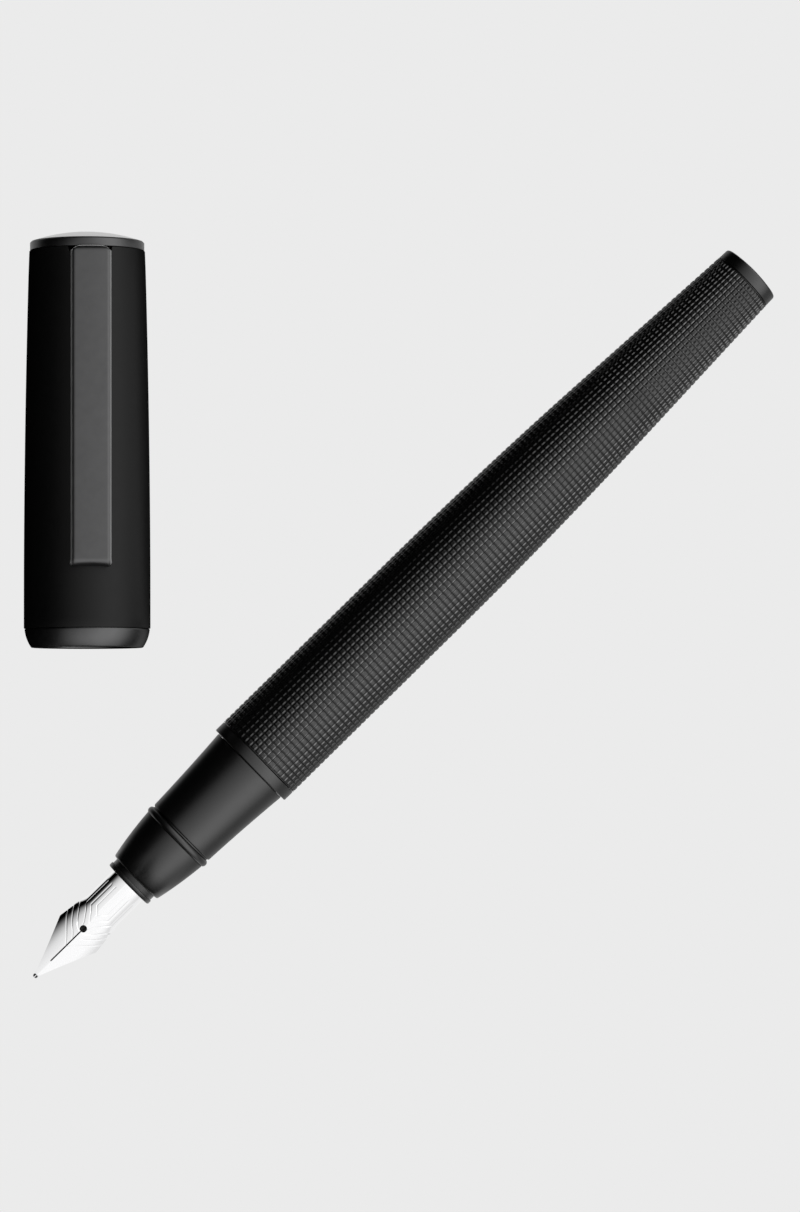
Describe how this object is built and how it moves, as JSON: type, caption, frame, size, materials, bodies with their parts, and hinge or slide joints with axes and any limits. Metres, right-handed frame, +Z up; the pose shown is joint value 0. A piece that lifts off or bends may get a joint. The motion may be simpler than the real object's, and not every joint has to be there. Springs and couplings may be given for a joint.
{
  "type": "fountain pen",
  "caption": "Matte black metal fountain pen with a square-waffle textured barrel and a steel nib, lying beside its pulled-off cap, which has a flat sprung pocket clip.",
  "frame": {"origin": "on the table under the middle of the set, pen and cap together", "axes": "+X along the pen from nib to tail, +Y from the pen towards the cap lying beside it, +Z up from the table"},
  "size_m": [0.126, 0.0718, 0.0175],
  "materials": {
    "barrel_black": "matte, square waffle texture",
    "satin_black": "satin",
    "cap_black": "matte lacquer",
    "gunmetal": "satin gunmetal",
    "finial_metal": "fine satin",
    "nib_steel": "mirror polish with engraved lines",
    "tipping": "ground",
    "black_plastic": "moulded",
    "clear_plastic": "clear",
    "bright_steel": "polished",
    "spring_steel": "drawn wire",
    "brass": "turned",
    "rubber": "moulded"
  },
  "bodies": {
    "barrel": {"barrel_sleeve": "barrel_black", "barrel_end_cap": "satin_black", "barrel_liner": "brass", "barrel_thread_bush": "brass"},
    "band": {"front_band": "satin_black"},
    "seal": {"section_o_ring": "rubber"},
    "section": {"section_grip": "satin_black", "section_snap_ring": "satin_black", "section_front_cone": "satin_black", "section_core": "black_plastic"},
    "nib_unit": {"nib_collar": "black_plastic", "nib": "nib_steel", "nib_tipping": "tipping", "nib_feed": "black_plastic"},
    "converter": {"converter_tube": "clear_plastic", "converter_sleeve": "bright_steel", "converter_guide": "black_plastic"},
    "knob": {"converter_knob": "black_plastic"},
    "piston": {"piston_seal": "rubber", "piston_rod": "black_plastic"},
    "cap": {"cap_lip_ring": "gunmetal", "cap_tube": "cap_black", "cap_top_ring": "gunmetal", "cap_finial": "finial_metal", "cap_nut": "brass", "inner_cap": "black_plastic", "cap_snap_spring": "spring_steel"},
    "clip": {"clip": "gunmetal"}
  },
  "joints": [
    {"name": "cap_pull", "type": "slide", "parent": "barrel", "child": "cap", "axis": [0.6994, 0.7147, 0], "range_m": [0, 0.04]},
    {"name": "clip_flex", "type": "hinge", "parent": "cap", "child": "clip", "pos_m": [0.00511, 0.02944, 0.01492], "axis": [-0.712, 0.6968, 0.0872], "range_deg": [0, 3.5], "stiffness_Nm_per_rad": 2.4},
    {"name": "section_withdraw", "type": "slide", "parent": "barrel", "child": "band", "axis": [-1, 0, 0], "range_m": [0, 0.076]},
    {"name": "section_unscrew", "type": "hinge", "parent": "band", "child": "seal", "pos_m": [-0.0246, -0.02975, 0.00615], "axis": [-1, 0, 0], "range_deg": [0, 1801]},
    {"name": "section_advance", "type": "slide", "parent": "seal", "child": "section", "axis": [-1, 0, 0], "range_m": [0, 0.00375]},
    {"name": "nib_unit_pull", "type": "slide", "parent": "section", "child": "nib_unit", "axis": [-1, 0, 0], "range_m": [0, 0.02]},
    {"name": "converter_pull", "type": "slide", "parent": "section", "child": "converter", "axis": [1, 0, 0], "range_m": [0, 0.019]},
    {"name": "knob_turn", "type": "hinge", "parent": "converter", "child": "knob", "pos_m": [0.017, -0.02975, 0.00615], "axis": [1, 0, 0], "range_deg": [0, 2881]},
    {"name": "piston_travel", "type": "slide", "parent": "converter", "child": "piston", "axis": [-1, 0, 0], "range_m": [0, 0.0208]}
  ],
  "couplings": [
    {"joint": "section_unscrew", "follows": "section_advance", "rad_per_m": 8377.6},
    {"joint": "knob_turn", "follows": "piston_travel", "rad_per_m": 2416.6}
  ]
}
